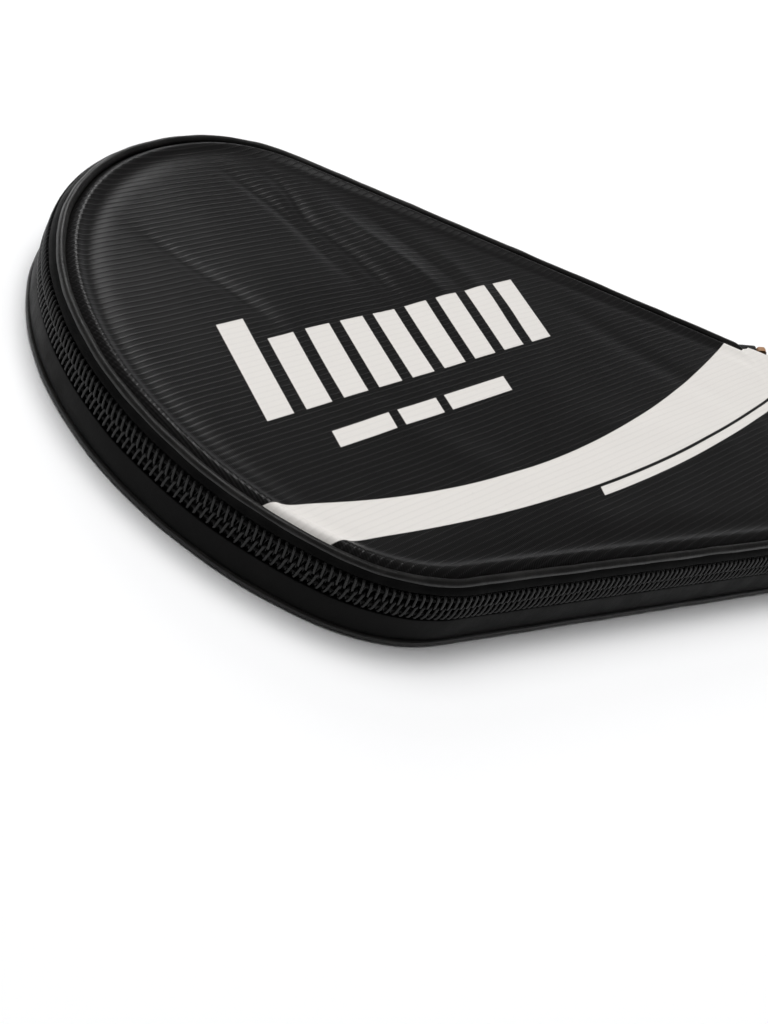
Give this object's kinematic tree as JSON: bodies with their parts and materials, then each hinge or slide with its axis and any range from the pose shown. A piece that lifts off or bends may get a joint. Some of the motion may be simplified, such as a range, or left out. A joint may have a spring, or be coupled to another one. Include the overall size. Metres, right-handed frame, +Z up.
{
  "type": "paddle case",
  "caption": "Padded gourd-shaped zip case for a table tennis racket, with a lid that folds up at the neck and a closed handle pocket.",
  "frame": {"origin": "centre of the footprint, on the surface the case lies on", "axes": "+X from the round head towards the handle end, +Z up out of the front face"},
  "size_m": [0.3, 0.1964, 0.0215],
  "materials": {
    "face_fabric": "ribbed nylon, soft sheen",
    "foam": "closed-cell padding",
    "lining": "plain tricot lining",
    "piping_vinyl": "glossy black vinyl",
    "binding_tape": "woven binding tape",
    "side_vinyl": "smooth coated side wall",
    "zipper_tape": "woven zipper tape",
    "zipper_coil": "nylon coil",
    "filler_cord": "twisted filler cord",
    "stop_metal": "black lacquered clip",
    "slider_metal": "black lacquered zinc",
    "spring_steel": "spring steel",
    "pull_rubber": "moulded soft pull",
    "pull_tip_tan": "tan end"
  },
  "bodies": {
    "rear_shell": {"rear_panel": "face_fabric", "rear_foam": "foam", "rear_lining": "lining", "rear_piping": "piping_vinyl", "rear_seam_binding": "binding_tape", "rear_side_wall": "side_vinyl", "rear_zipper_tape": "zipper_tape", "rear_zipper_coil": "zipper_coil", "rear_coil_cord": "filler_cord", "pocket_panel": "face_fabric", "pocket_foam": "foam", "pocket_lining": "lining", "pocket_side_wall": "side_vinyl", "pocket_mouth_binding": "binding_tape", "neck_fold": "face_fabric", "zipper_bottom_stop": "stop_metal", "rear_top_stop": "stop_metal"},
    "front_lid": {"front_panel": "face_fabric", "front_foam": "foam", "front_lining": "lining", "lid_edge_binding": "binding_tape", "front_piping": "piping_vinyl", "front_seam_binding": "binding_tape", "front_side_wall": "side_vinyl", "front_zipper_tape": "zipper_tape", "front_zipper_coil": "zipper_coil", "front_coil_cord": "filler_cord", "front_top_stop": "stop_metal"},
    "slider": {"slider_body": "slider_metal", "slider_bridge": "slider_metal", "slider_lock_spring": "spring_steel"},
    "pull_tab": {"pull_link": "slider_metal", "pull_grip": "pull_rubber", "pull_tip": "pull_tip_tan"}
  },
  "joints": [
    {"name": "lid_hinge", "type": "hinge", "parent": "rear_shell", "child": "front_lid", "pos_m": [0.1104, 0, 0.0215], "axis": [0, 1, 0], "range_deg": [0, 150]},
    {"name": "slider_travel", "type": "slide", "parent": "rear_shell", "child": "slider", "axis": [-0.9593, 0.2823, 0], "range_m": [0, 0.14]},
    {"name": "pull_hinge", "type": "hinge", "parent": "slider", "child": "pull_tab", "pos_m": [0.10138, 0.05322, 0.01435], "axis": [0, 0, 1], "range_deg": [0, 160]}
  ]
}
